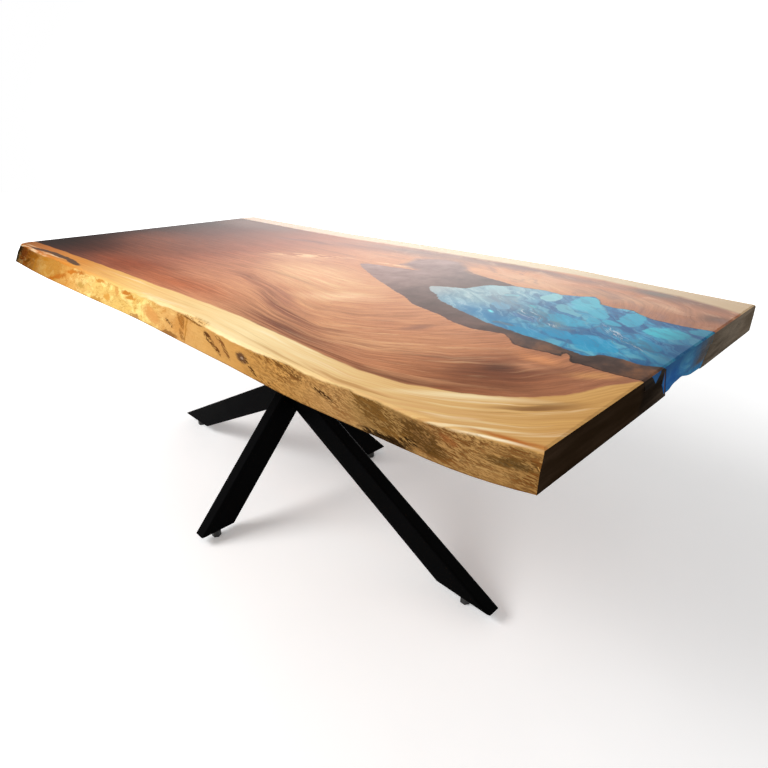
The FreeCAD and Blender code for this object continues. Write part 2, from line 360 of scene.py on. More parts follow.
def slice_up(shape, axis, places, where=lambda face: True):
    """Cuts planes across one axis through the faces that lie where they should."""
    across = Vector([float(letter == axis) for letter in "xyz"])
    faces = [f for f in shape.faces if where(f)]
    edges = {e for f in faces for e in f.edges}
    corners = {v for f in faces for v in f.verts}
    cut = [*corners, *edges, *faces]
    for place in places:
        cut = bmesh.ops.bisect_plane(shape, geom=cut, dist=1e-6, plane_co=across * place,
                                     plane_no=across)["geom"]


def spaced(low, high, step):
    """Even places between two ends, at most one step apart."""
    count = math.ceil((high - low) / step)
    return [low + (high - low) * i / count for i in range(1, count)]


def object_of(shape, name):
    """Puts a finished shape into the scene."""
    mesh = bpy.data.meshes.new(name)
    shape.to_mesh(mesh)
    shape.free()
    made = bpy.data.objects.new(name, mesh)
    bpy.context.scene.collection.objects.link(made)
    return made


def piece_of(shape, name, body, *nodes):
    """Turns a finished shape into a piece that rides on a body and stands for its sub-parts."""
    piece = object_of(shape, name)
    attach(piece, body)
    if nodes:
        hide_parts(*nodes)
    print(name, "has", len(piece.data.polygons), "faces")
    return piece


# %% [markdown]
# Under the bark a tree is not smooth: it swells, dips and has ridges where the bark was peeled away. The
# two long sides of the slab are cut finely and pushed in by a few millimetres of noise, most of it half
# way down. The top's rounded arris stays as it is, because that is where the sander went, and the lower
# rim keeps close to its own line.

# %% Carving the live edges
ARRIS_DEPTH = 0.006
RIVER_LEFT, RIVER_NEAR, RIVER_FAR = 0.07, -0.2, 0.36
# How far apart the cuts are: everywhere, on the top, by the river and the bark, and in level layers.
COARSE, MEDIUM, FINE, LAYER = 0.03, 0.015, 0.0075, 0.0055


def on_live_edge(face):
    return abs(face.normal.y) > 0.45 and abs(face.normal.z) < 0.75


def on_top(face):
    return face.calc_center_median().z > top - 0.001


def by_the_river(face):
    middle = face.calc_center_median()
    return on_top(face) and middle.x > RIVER_LEFT and RIVER_NEAR < middle.y < RIVER_FAR


def clamped(share):
    return min(1.0, max(0.0, share))


def lumps(x, y, z):
    """A smooth random value from about -1 to 1 for any place."""
    return noise.noise(Vector((x, y, z)))


def carve_depth(place):
    """How far the bark side is worn back at one place: swells, ridges and small pits."""
    burl = clamped(0.5 - place.x * 1.2)
    swell = 0.5 + 0.5 * lumps(place.x * 6, place.y, place.z * 9)
    ridge = abs(lumps(place.x * 20 + place.z * 26, place.y, place.z * 50))
    lump = max(0.0, lumps(place.x * 30, place.y * 3, place.z * 40))
    calm = clamped((place.z - underside) / 0.022)
    corner = clamped((place.x - left_end) / 0.09)
    worn = 0.0010 + 0.0025 * calm
    return corner * (worn * swell + calm * (0.0020 * ridge + (0.0015 + 0.004 * burl) * lump))


def carve_slab():
    shape = blank_of("slab")
    slice_up(shape, "y", spaced(slab_low.y, slab_high.y, COARSE))
    slice_up(shape, "x", spaced(left_end, right_end, COARSE))
    slice_up(shape, "x", spaced(left_end, right_end, MEDIUM), on_top)
    slice_up(shape, "y", spaced(slab_low.y, slab_high.y, MEDIUM), on_top)
    slice_up(shape, "x", spaced(RIVER_LEFT, right_end, FINE), by_the_river)
    slice_up(shape, "y", spaced(RIVER_NEAR, RIVER_FAR, FINE), by_the_river)
    slice_up(shape, "z", spaced(underside, top - ARRIS_DEPTH, LAYER), on_live_edge)
    slice_up(shape, "x", spaced(left_end, right_end, FINE), on_live_edge)
    shape.normal_update()
    sides = {v for f in shape.faces if on_live_edge(f) for v in f.verts}
    pushes = {}
    for corner in sides:
        depth = top - corner.co.z
        share = clamped((depth - 0.002) / 0.012)
        outward = Vector((corner.normal.x, corner.normal.y, 0)).normalized()
        rim = 1.0 if corner.co.z < underside + 0.0005 else 0.0
        lift = rim * 0.0012 * (0.5 + 0.5 * lumps(corner.co.x * 6, corner.co.y, 4.0))
        pushes[corner] = Vector((0, 0, lift)) - outward * carve_depth(corner.co) * share
    for corner, push in pushes.items():
        ends = abs(corner.co.x - right_end) < 0.002 or abs(corner.co.x - left_end) < 0.002
        corner.co += Vector((0, push.y, push.z)) if ends else push
    return shape


slab_shape = carve_slab()
print("open edges in the slab:", sum(1 for e in slab_shape.edges if not e.is_manifold))
slab = piece_of(slab_shape, "carved_slab", "table", "slab")
mark_wood(slab)

# %% [markdown]
# Resin is poured against a board at the open end and tape from below, so its underside is never flat: it
# sags into lumps where it crept, and at the open end it hangs in a ragged lip, drawn as heights across the
# end. Only those lower points are moved, and only within the slab's thickness.

# %% Casting the river
GRID = 0.009
LIP = [(-0.035, 0.708), (-0.021, 0.715), (0.016, 0.717), (0.062, 0.707), (0.115, 0.705), (0.208, 0.705)]


def cast_river():
    shape = blank_of("resin_river")
    low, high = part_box("resin_river")
    slice_up(shape, "x", spaced(low.x, high.x, GRID))
    slice_up(shape, "y", spaced(low.y, high.y, GRID))
    for corner in shape.verts:
        if corner.co.z < low.z + 0.0005:
            lump = lumps(corner.co.x * 25, corner.co.y * 32, 1.0)
            sag = corner.co.z + max(-0.0040, 0.0025 + 0.0065 * lump)
            lip = np.interp(corner.co.y, [y for y, z in LIP], [z for y, z in LIP]) + 0.001 * lump
            near_end = clamped((corner.co.x - 0.92) / 0.06)
            corner.co.z = sag + (lip - sag) * near_end
    return shape


river_shape = cast_river()
print("open edges in the river:", sum(1 for e in river_shape.edges if not e.is_manifold))
river = piece_of(river_shape, "cast_river", "table", "resin_river")
mark_wood(river)


# %% [markdown]
# The small parts below the slab are shown by the frame with plain edges. Real ones are turned, stamped or
# moulded, and each has its edges broken. A copy of the part is merged and every sharp edge is bevelled by a
# fraction of a millimetre, which keeps its size and gives the edges their thin lines of light.

# %% Feet and bolts with broken edges
def softened(node, width):
    """A copy of a sub-part with its sharp edges rounded inwards."""
    shape = blank_of(node)
    sharp = [e for e in shape.edges if e.is_manifold and e.calc_face_angle(0) > math.radians(35)]
    bmesh.ops.bevel(shape, geom=sharp, offset=width, segments=2, profile=0.5, affect="EDGES",
                    material=-1, clamp_overlap=True)
    return shape


SIDES = ["right", "left", "near", "far"]
for side in SIDES:
    foot = piece_of(softened("levelling_foot_" + side, 0.0009), side + "_foot_pad", side + "_levelling_foot",
                    "levelling_foot_" + side)
bolts = piece_of(softened("mounting_bolts", 0.0004), "hexagon_bolts", "table", "mounting_bolts")

# %% [markdown]
# A levelling stud has a thread. Its outline over one turn, root to crest to root, is spun round the stud's
# centre line while it climbs by one pitch each turn, so that every turn meets the one before it. The open
# ends of the spiral are closed, though they are hidden in the foot and in the leg's nut.

# %% Threaded studs
THREAD_PITCH = 0.0015
THREAD_DEPTH = 0.0008
THREAD_STEPS = 18


def threaded_stud(side):
    low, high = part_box("levelling_stud_" + side)
    middle = (low + high) / 2
    crest = (high.x - low.x) / 2
    root = crest - THREAD_DEPTH
    shape = bmesh.new()
    outline = [(root, 0.0), (crest, 0.44), (crest, 0.56), (root, 1.0)]
    corners = [shape.verts.new((middle.x + out, middle.y, low.z + THREAD_PITCH * up)) for out, up in outline]
    edges = [shape.edges.new(pair) for pair in zip(corners[:-1], corners[1:])]
    turns = int((high.z - low.z) / THREAD_PITCH) - 1
    bmesh.ops.spin(shape, geom=corners + edges, cent=(middle.x, middle.y, 0), axis=(0, 0, 1),
                   dvec=(0, 0, THREAD_PITCH / THREAD_STEPS), angle=2 * math.pi * turns,
                   steps=THREAD_STEPS * turns)
    bmesh.ops.remove_doubles(shape, verts=shape.verts, dist=1e-5)
    bmesh.ops.holes_fill(shape, edges=[e for e in shape.edges if e.is_boundary])
    bmesh.ops.recalc_face_normals(shape, faces=shape.faces)
    return shape


for side in SIDES:
    stud = piece_of(threaded_stud(side), side + "_threaded_stud", side + "_levelling_stud",
                    "levelling_stud_" + side)

# %% [markdown]
# The tubes are welded to their plates and to each other at the hub. A weld is a row of small puddles, each
# frozen over the last, so a bead is swept along the joint with a thickness that swells and shrinks a
# little at every puddle. A curve with a round bevel does the sweep and its points carry the thickness.

# %% Weld beads
PUDDLE = 0.0045


def bead(shape, corners, thickness):
    """Lays one closed bead along straight runs and adds it to a shape."""
    line = bpy.data.curves.new("bead", "CURVE")
    line.dimensions = "3D"
    line.bevel_depth = thickness
    line.bevel_resolution = 2
    places = []
    for start, end in zip(corners, corners[1:] + corners[:1]):
        count = math.ceil((end - start).length / PUDDLE)
        places += [start.lerp(end, i / count) for i in range(count)]
    run = line.splines.new("POLY")
    run.points.add(len(places) - 1)
    run.use_cyclic_u = True
    for number, (knot, place) in enumerate(zip(run.points, places)):
        knot.co = (*place, 1)
        knot.radius = 1.0 + 0.2 * (-1) ** number
    holder = bpy.data.objects.new("bead", line)
    mesh = bpy.data.meshes.new_from_object(holder)
    shape.from_mesh(mesh)
    bpy.data.objects.remove(holder)
    bpy.data.meshes.remove(mesh)


def ring_round(centre, half_x=0.0, half_y=0.0, half_z=0.0):
    """The four corners of an upright or level rectangle round a place."""
    turns = ((1, 1), (-1, 1), (-1, -1), (1, -1))
    if half_x:
        return [Vector(centre) + Vector((half_x * a, half_y * b, 0)) for a, b in turns]
    return [Vector(centre) + Vector((0, half_y * a, half_z * b)) for a, b in turns]


HUB = Vector((-0.036, -0.040, 0.380))
PLATE_LEVEL = 0.6945
# Each arm's top: its way from the hub, and half its two sides where it meets the plate.
ARM_TOPS = [
    (0.6168, 0, 0.0878, 0.0200), (-0.6168, 0, 0.0878, 0.0200), (0, 0.2846, 0.0200, 0.0538),
    (0, -0.2846, 0.0200, 0.0538),
]
# A bead's radius, and how far its middle stands off the tube.
BEAD, TOE = 0.0024, 0.001

weld_shape = bmesh.new()
for out_x, out_y, half_x, half_y in ARM_TOPS:
    at_plate = (HUB.x + out_x, HUB.y + out_y, PLATE_LEVEL)
    bead(weld_shape, ring_round(at_plate, half_x + TOE, half_y + TOE), BEAD)
for side_x in (-0.020, 0.020):
    bead(weld_shape, ring_round((HUB.x + side_x, HUB.y, HUB.z), half_y=0.0205, half_z=0.055), BEAD)
welds = piece_of(weld_shape, "weld_beads", "table")


# %% [markdown]
# Wood first. Its ground colour drifts along the slab, from nearly black-brown at the left to an orange tan
# in the middle, and soft ovals lay in what the drift can't say. Drift and ovals are partly the wood's own
# colour and partly painted light: painted shade at the left end and the near-left corner, and a cream
# painted highlight on the middle of the top. Over it goes the figure: clouds read at the rings' measure, so
# that they run with the grain and sweep round the bend by the river as real growth rings do. Broad ones make
# bands, fine ones make the silky lines, and very fine dark dashes are the open pores. The darkest bands are
# drawn where they are, as ovals in a plan whose second axis is the rings' measure.

# %% Wood colours
# Ovals: x, y, reach along, reach across, turn, tone. Most are the wood's own tones. The near-black first
# one, at the near-left corner, is partly painted shade. The cream ones at (130, -60) and (330, -160) are
# partly a painted highlight on the middle of the top.
HEART_TONES_AND_PAINTED_LIGHT = [
    (-1050, -360, 720, 320, 0, "#1b100b"), (-620, -100, 420, 200, -6, "#824a34"),
    (-360, -330, 340, 100, 2, "#8a4429"), (-60, -340, 360, 80, 2, "#b2643f"),
    (130, -60, 340, 150, -8, "#eab688"), (-100, 60, 190, 80, 20, "#d9a17a"),
    (840, -275, 190, 95, 50, "#74432e"), (615, -185, 50, 28, 66, "#a06f58"),
    (330, -160, 150, 60, 25, "#efbf94"), (860, -215, 60, 24, 30, "#c08560"),
    (835, -250, 50, 30, 50, "#5f3d2e"), (860, -175, 80, 30, 5, "#d9915f"),
    (955, -185, 60, 24, 30, "#c48c58"), (560, 265, 260, 65, -8, "#dba881"),
    (450, 385, 600, 55, -4, "#84665c"), (100, 360, 400, 100, 0, "#8c6f66"),
    (800, 270, 220, 55, -6, "#b98a6a"), (900, 340, 160, 50, -14, "#7a5847"),
    (830, 365, 70, 34, 0, "#6c655a"), (990, 230, 50, 50, 0, "#6f4e3c"), (-300, 250, 240, 26, 6, "#8a5848"),
    (-800, 360, 450, 140, 0, "#75554a"), (-120, 300, 260, 50, 4, "#a06a56"),
]
GROWTH_BANDS = [
    (420, 48, 340, 105, 0, "#704133"), (660, 5, 400, 28, 0, "#74452f"), (300, 140, 340, 46, -7, "#85513f"),
    (30, 180, 240, 36, -5, "#a1664c"), (240, 180, 200, 30, -8, "#b0755a"),
    (620, 105, 170, 50, 0, "#d8a075"), (760, 85, 120, 30, 0, "#8f5a42"),
]
CURLS = [(-100, 90, 180, 40, 28), (190, 180, 100, 14, 13)]


def ring_place(pot, along, across, wander=0.012):
    """Places stretched along the grain: x and y along it, the rings' measure across it."""
    drift = pot.cloud((3, 8, 8), 3)
    rings = pot.sum("MULTIPLY_ADD", drift, wander, "rings")
    run = pot.sum("MULTIPLY_ADD", "Y", 0.7, "X")
    return pot.point(pot.times(run, along), pot.times(rings, across), pot.times("Z", 9))


def grain(pot, along, across, detail, roughness=0.5, bend=0.0, wander=0.012):
    """A cloud drawn out into lines that follow the growth rings."""
    return pot.cloud(1, detail, roughness, bend, of=ring_place(pot, along, across, wander))


def silk(pot, share, under, lines):
    """Fine light and dark lines, laid on a colour."""
    grey = pot.ramp(lines, [(0.33, "#6f6a68"), (0.5, "#bcbcbc"), (0.66, "#f7f3ea")])
    return pot.lay(under, grey, share, how="OVERLAY")


def heartwood(pot):
    along = pot.along()
    # The drift is partly the wood's own colour and partly painted light: painted shade darkens the left end
    # and painted light brightens the middle.
    look = pot.ramp(along, [
        (0, "#2e1b15"), (0.16, "#693829"), (0.34, "#a26045"), (0.5, "#cb8a65"), (0.66, "#d6986e"),
        (0.8, "#c98a64"), (0.9, "#b57752"), (1, "#9f684b"),
    ])
    ragged = pot.push(5, 0.08, 4)
    look = pot.spots(look, HEART_TONES_AND_PAINTED_LIGHT, ragged, 0.9)
    near = pot.step("Y", 0, -0.1)
    drift = pot.cloud((4, 14, 14), 4)
    in_rings = pot.point("X", pot.sum("MULTIPLY_ADD", drift, 0.05,
                                                pot.sum("SUBTRACT", "rings", 0.025)))
    strands = grain(pot, 2.6, 95, 4, 0.62, 0.3, wander=0.015)
    strands = pot.times(near, pot.step(strands, 0.4, 0.6, 1, 0.45))
    look = pot.spots(look, GROWTH_BANDS, in_rings, strands, 0.95)
    broad = grain(pot, 2.4, 30, 4, 0.6, 0.3, wander=0.03)
    look = pot.lay(look, "#6e4534", pot.step(broad, 0.54, 0.74, 0.28))
    light = pot.times(pot.step(broad, 0.44, 0.26, 0.25), pot.step(along, 0.4, 0.6))
    look = pot.lay(look, "#e8ba90", light)
    far = pot.times(pot.step("Y", 0.02, 0.22), pot.step("X", -0.2, 0.3))
    mottle = pot.cloud((7, 13, 13), 5, 0.62, 0.6, turn=(0, 0, -35))
    look = pot.lay(look, "#84625a", far, pot.step(mottle, 0.5, 0.66, 0.45))
    look = pot.lay(look, "#deb08c", far, pot.step(mottle, 0.48, 0.34, 0.35))
    bend = pot.times(pot.spot(660, -290, 340, 170, 8), near)
    lines = grain(pot, 3.2, 70, 4, 0.6, 0.4, wander=0.02)
    fine = grain(pot, 5, 210, 3, 0.6, 0.3, wander=0.02)
    pale = pot.most(pot.step(lines, 0.54, 0.66), pot.step(fine, 0.58, 0.68, 0.7))
    look = pot.lay(look, "#edbd8e", bend, pale, 0.55)
    deep = pot.most(pot.step(lines, 0.46, 0.34), pot.step(fine, 0.42, 0.34, 0.7))
    look = pot.lay(look, "#7d4f3a", bend, deep, 0.4)
    share = pot.step("Y", 0.02, 0.22, 0.12, 0.22)
    lines = grain(pot, 6, 130, 4, 0.62, 0.15)
    look = silk(pot, share, look, lines)
    look = silk(pot, pot.times(share, 0.9), look, grain(pot, 12, 430, 3, 0.62, 0.15))
    curl_place = pot.push(14, 0.07, 3)
    curls = pot.cloud((14, 46, 14), 3, 0.6, turn=(0, 0, 25), of=curl_place)
    by_the_tip = pot.push(20, 0.02, 4)
    for oval in CURLS:
        pale = pot.spot(*oval, by_the_tip)
        look = pot.lay(look, "#f5c494", pale, pot.step(curls, 0.56, 0.44))
        look = pot.lay(look, "#a9603f", pale, pot.step(curls, 0.52, 0.62, 0.8))
    pores = grain(pot, 60, 1500, 2, 0.6)
    look = pot.lay(look, "#3c2117", pot.step(pores, 0.6, 0.72, 0.35))
    return look, pot.sum("ADD", lines, pores)


def sapwood(pot):
    along = pot.along()
    look = pot.ramp(along, [
        (0, "#86501f"), (0.1, "#ac652c"), (0.25, "#cc8538"), (0.42, "#ecbb70"), (0.7, "#f8dda6"),
        (0.86, "#e2b97e"), (1, "#cb9a59"),
    ])
    broad = grain(pot, 2.2, 50, 4, 0.6, 0.5, wander=0.03)
    right = pot.step(along, 0.62, 0.85, 1, 0.35)
    look = pot.lay(look, "#b8864c", right, pot.step(broad, 0.5, 0.7, 0.65))
    look = pot.lay(look, "#fdeec6", pot.step(broad, 0.46, 0.3, 0.55))
    dark = pot.times(pot.step(broad, 0.45, 0.53), pot.spot(955, -340, 110, 30, 50))
    look = pot.lay(look, "#7d5430", dark, 0.8)
    lit = pot.spot(860, -375, 160, 16, 34)
    look = pot.lay(look, "#f6e2b4", lit, 0.8)
    edge_place = pot.push(24, 0.012, 3)
    look = pot.lay(look, "#b0662c", pot.spot(975, -432, 85, 8, 14, edge_place))
    # Painted highlight: a thin pale line along the near arris at the right end, where the gloss catches the
    # light.
    look = pot.lay(look, "#f8e6c2", pot.spot(955, -444.5, 80, 3.5, 17))
    look = silk(pot, 0.18, look, grain(pot, 6, 260, 4, 0.62, 0.15))
    far = pot.step("Y", 0, 0.2, 0.8)
    return pot.lay(look, pot.ramp(along, [(0.3, "#e1c6b0"), (0.75, "#d4c2a2"), (1, "#bfa787")]), far)


BARK_POCKET = [
    (-800, -446, 140, 12, 6), (-660, -438, 170, 15, 0), (-530, -441, 110, 15, -4),
]


def near_the_bark(pot, wood):
    """The pocket of bark and the rough knuckle, laid on the wood beside the near bark side."""
    pocket = 0.0
    pushed = pot.push(20, 0.012, 4)
    for oval in BARK_POCKET:
        pocket = pot.most(pocket, pot.spot(*oval, pushed))
    wood = pot.lay(wood, "#4a382c", pot.step(pocket, 0.1, 0.42, 0.92))
    knuckle = pot.spot(240, -468, 100, 20, 4, pot.push(40, 0.02, 4))
    dots = pot.cloud((150, 260, 150), 0, turn=(0, 0, 20))
    rim = pot.times(pot.step(knuckle, 0.06, 0.3), pot.step(dots, 0.56, 0.68))
    wood = pot.lay(wood, "#cf9d58", pot.step(knuckle, 0.05, 0.45, 0.6))
    return pot.lay(wood, "#7d4f24", rim, 0.7)


def top_wood(pot):
    """Heartwood, sapwood and the marks near the bark, joined along the tree's own lines."""
    heart, relief = heartwood(pot)
    wobble = pot.cloud((9, 30, 30), 4)
    edge = pot.sum("MULTIPLY_ADD", wobble, 0.012, "heart")
    soft = pot.step("Y", 0, 0.2, 0.024, 0.0095)
    wood = pot.lay(sapwood(pot), heart, pot.step(edge, 0.004, soft))
    return near_the_bark(pot, wood), relief


# %% [markdown]
# The river has two looks. Round its bank the resin is clear and lies over dark, sloping wood, so it reads
# as a smoky brown band. Its shore is sharp, and fades raggedly only in the lobe at the far left. In the
# deep channel it is blue: turquoise pigment spreads in cells that dusky seams part, and its largest pads
# are ovals with a ragged rim. Pearl powder is a cloud stretched into threads along two short lines, and
# the dull patches are where little pigment came.

# %% Resin colours
PIGMENT_PADS = [
    (555, 145, 70, 42, -30, "#a5c2c6"), (609, 128, 18, 15, 0, "#86c3cb"), (632, 40, 38, 30, -20, "#6fa3be"),
    (680, 170, 52, 28, -76, "#90c6ca"), (691, 75, 13, 11, 0, "#5fc0ca"), (757, 178, 84, 42, -70, "#52b5c6"),
    (752, 104, 66, 19, -42, "#69aebc"), (812, 120, 48, 29, -60, "#42aac1"),
    (878, 137, 72, 33, -75, "#3aa6c1"), (856, 80, 26, 24, 0, "#38a5c0"), (823, 68, 32, 20, -45, "#3a9fbb"),
    (782, 36, 66, 36, -10, "#35a1bf"), (957, 92, 52, 48, 0, "#40bac8"), (1004, 138, 30, 36, -60, "#3cacc2"),
    (957, 10, 46, 22, -20, "#2790b5"), (766, -74, 60, 26, -8, "#2a8db6"),
    (812, -40, 56, 30, -25, "#1292be"), (888, -52, 70, 50, -35, "#0a92bc"),
    (722, 2, 40, 18, -20, "#4a6fa0"), (716, -60, 30, 13, 0, "#557489"),
]
DULL_WATER = [
    (735, 22, 150, 45, -40, "#4d7088"), (612, 85, 120, 60, -35, "#82939f"),
    (794, 4, 60, 22, -30, "#66838f"), (947, 0, 55, 28, -30, "#3d6f86"),
]


def smoky_band(pot):
    mist = pot.cloud(14, 4, 0.6, of=pot.push(9, 0.06))
    left = pot.ramp(mist, [(0.3, "#8a6a62"), (0.7, "#b08f86")])
    middle = pot.ramp(mist, [(0.3, "#5a4741"), (0.7, "#755d55")])
    right = pot.ramp(mist, [(0.35, "#33231d"), (0.52, "#4e3930"), (0.66, "#7a5238")])
    band = pot.lay(left, middle, pot.step("X", 0.2, 0.52))
    return pot.lay(band, right, pot.step("X", 0.6, 0.9))


def blue_water(pot):
    place = pot.push(26, 0.026, 4, of=pot.push(10, 0.035, 2))
    marble = pot.cloud((10, 28, 10), 6, 0.66, 1, turn=(0, 0, -36), of=place)
    across = pot.turned((17, 27, 1), (0, 0, -38), place)
    cell = pot.node("TexVoronoi", {"Vector": across, "Scale": 1.0},
                    voronoi_dimensions="2D").outputs["Color"]
    rim = pot.node("TexVoronoi", {"Vector": across, "Scale": 1.0}, voronoi_dimensions="2D",
                   feature="DISTANCE_TO_EDGE").outputs["Distance"]
    chance = pot.node("SeparateColor", {0: cell}).outputs[0]
    chance = pot.sum("SUBTRACT", chance, 0.5)
    chance = pot.times(chance, pot.step("X", 0.5, 0.76, 0.45, 0.08))
    mixed = pot.sum("ADD", chance, pot.sum("MULTIPLY_ADD", marble, 1.4, -0.22))
    dusky = pot.ramp(mixed, [(0.26, "#1f5787"), (0.42, "#26709e"), (0.56, "#3490b4"), (0.7, "#5aa8be")])
    milk = pot.ramp(mixed, [(0.26, "#72909f"), (0.42, "#87a2ad"), (0.56, "#9ab6bc"), (0.72, "#bccdce")])
    water = pot.lay(milk, dusky, pot.step("X", 0.52, 0.78))
    seam = pot.times(pot.step(rim, 0.1, 0.02), pot.step("X", 0.6, 0.76, 0.6))
    water = pot.lay(water, "#37648b", seam)
    low_bank = pot.spot(665, -40, 240, 60, -16, place)
    water = pot.lay(water, "#2f80ae", low_bank, 0.8)
    ragged = pot.step(pot.cloud(55, 3, 0.55, of=place), 0.2, 0.8, 1.6, 0.4)
    for *oval, tone in PIGMENT_PADS:
        pad = pot.times(ragged, pot.spot(*oval, place))
        water = pot.lay(water, tone, pot.step(pad, 0.12, 0.3, 0.85))
    streaks = pot.cloud((12, 70, 12), 5, 0.7, 0.6, turn=(0, 0, -38), of=place)
    bright = pot.lay("#bcdde0", "#6fbddb", pot.step("X", 0.56, 0.8))
    water = pot.lay(water, bright, pot.step(streaks, 0.52, 0.68, 0.35))
    right = pot.step("X", 0.6, 0.8, 0.4)
    water = pot.lay(water, "#386b90", right, pot.step(streaks, 0.46, 0.36))
    bar = pot.spot(930, 0, 170, 34, -30, place)
    purple = pot.times(bar, pot.step(streaks, 0.5, 0.4, 0.8))
    water = pot.lay(water, "#4d6a84", purple)
    water = pot.spots(water, DULL_WATER, place, pot.step(streaks, 0.58, 0.44, 1, 0.3))
    tip = pot.step("X", 0.52, 0.42, 0.75)
    water = pot.lay(water, "#b3b4b2", tip)
    gloom = pot.step("X", 0.93, 1.01, 0.6)
    water = pot.lay(water, "#1b4e72", gloom)
    threads = pot.cloud((16, 170, 10), 5, 0.75, 0.3, turn=(0, 0, -34), of=place)
    pearl = pot.most(pot.spot(714, 28, 70, 20, -45, place), pot.spot(905, 18, 110, 16, -36, place))
    pearl = pot.most(pearl, pot.spot(785, -2, 24, 12, 0, place))
    pearl = pot.times(pearl, pot.step(threads, 0.52, 0.62, 0.9))
    water = pot.lay(water, "#d3dcdf", pearl)
    return pot.lay(water, "#7fe8ee", pot.spot(645, -10, 18, 7, -35))


def polished_colour(pot):
    wood, relief = top_wood(pot)
    shore = pot.torn("river", 0.007, 90, 4)
    lobe = pot.times(pot.step("Y", 0.15, 0.19), pot.step("X", 0.5, 0.3))
    faint = pot.step(pot.torn(shore, 0.03, 30, 4), 0, 0.034)
    cover = pot.node("Mix", {0: lobe, 2: pot.step(shore, 0.0028, 0.0048), 3: faint}).outputs[0]
    look = pot.lay(wood, smoky_band(pot), cover)
    line = pot.times(pot.step(shore, 0.002, 0.0034), pot.step(shore, 0.0075, 0.0045))
    line = pot.times(line, pot.step("X", 0.68, 0.86, 0.7))
    look = pot.lay(look, "#20130d", line)
    deep = pot.torn("water", 0.012, 60, 4)
    return pot.lay(look, blue_water(pot), pot.step(deep, 0.0045, 0.0085)), relief


# %% [markdown]
# The bark sides are finished with thin oil only. Their colour changes along the table: nearly black at the
# left corner, which is painted shade on the rounded corner, then honey with knots of burl, then more and
# more dark dashes where beetles ran under the bark, and grey-brown with level lines at the right. The
# largest stains and the one small knot are drawn where they are, as ovals with torn rims, and the largest
# tracks as ovals that broken dashes fill. Two of the ovals are painted shade: a dark one at the left corner
# and a thin upright one along the knuckle's fold. Painted shade also darkens the lowest few millimetres.

# %% Bark side colours
# Ovals: x, height, reach along, reach up, turn, tone. Most are stains, burl and a knot. The near-black first
# one is painted shade on the rounded left corner. The thin upright one at (219, 728) is painted shade along
# the knuckle's fold.
BARK_STAINS_AND_PAINTED_SHADE = [
    (-1010, 730, 60, 80, 0, "#1c160b"), (-925, 738, 50, 14, 0, "#552a0c"),
    (-870, 722, 40, 9, 14, "#57330a"), (-810, 742, 60, 10, 4, "#7d4a10"),
    (-785, 722, 35, 18, 80, "#94611f"), (-700, 748, 50, 8, 5, "#a46c22"), (-590, 711, 70, 7, 10, "#a55d1a"),
    (-540, 723, 70, 10, 12, "#ac6522"), (-460, 745, 60, 7, 8, "#bb6d22"), (-400, 751, 40, 6, 4, "#b36d2c"),
    (-380, 722, 34, 9, 0, "#b98f48"), (-260, 751, 50, 7, 0, "#c57f34"), (-200, 722, 34, 12, 0, "#d29542"),
    (-150, 745, 28, 12, -40, "#cf9650"), (-100, 748, 40, 6, 2, "#bb6d22"), (-75, 740, 40, 6, 6, "#c17c2e"),
    (-30, 705, 50, 8, 0, "#b08048"), (-260, 706, 60, 8, 0, "#bd8840"), (50, 726, 65, 22, -8, "#d29452"),
    (150, 706, 60, 8, 0, "#8a5c30"), (192, 736, 46, 40, 0, "#c98e4a"), (219, 728, 6, 44, 6, "#b07a38"),
    (250, 756, 90, 9, 0, "#b5803f"), (350, 735, 60, 18, -24, "#c08a4c"), (800, 735, 110, 50, 0, "#a37c48"),
    (765, 745, 60, 16, -30, "#96703f"), (862, 730, 55, 22, -20, "#835e35"), (800, 705, 70, 9, 0, "#2a1c0e"),
    (905, 742, 24, 8, -15, "#9c6234"), (985, 735, 36, 8, 0, "#6f5430"), (447, 732.5, 30, 15, -8, "#50362a"),
    (449, 732.5, 8, 4.5, 0, "#a58a70"),
]
BARK_TRACKS = [
    (140, 727, 30, 5, -12, "#4a2410"), (190, 744, 34, 16, -35, "#a4682c"),
    (205, 716, 26, 10, -20, "#a46c34"), (250, 756, 80, 9, 0, "#7c4f24"), (318, 739, 28, 10, -14, "#4e2612"),
    (345, 728, 40, 8, -28, "#5c3214"), (368, 743, 40, 7, -22, "#80502a"), (388, 731, 30, 9, -40, "#80502a"),
    (475, 722, 30, 6, -38, "#4a2c17"), (672, 736, 40, 6, -12, "#3c2210"), (590, 748, 60, 7, -10, "#7a5026"),
    (790, 738, 90, 30, -20, "#7a5426"), (865, 730, 60, 24, -20, "#68471f"), (842, 718, 26, 9, 0, "#2c1b0a"),
    (800, 708, 70, 9, 0, "#2a1a0c"), (985, 735, 50, 10, 0, "#7a5629"),
]


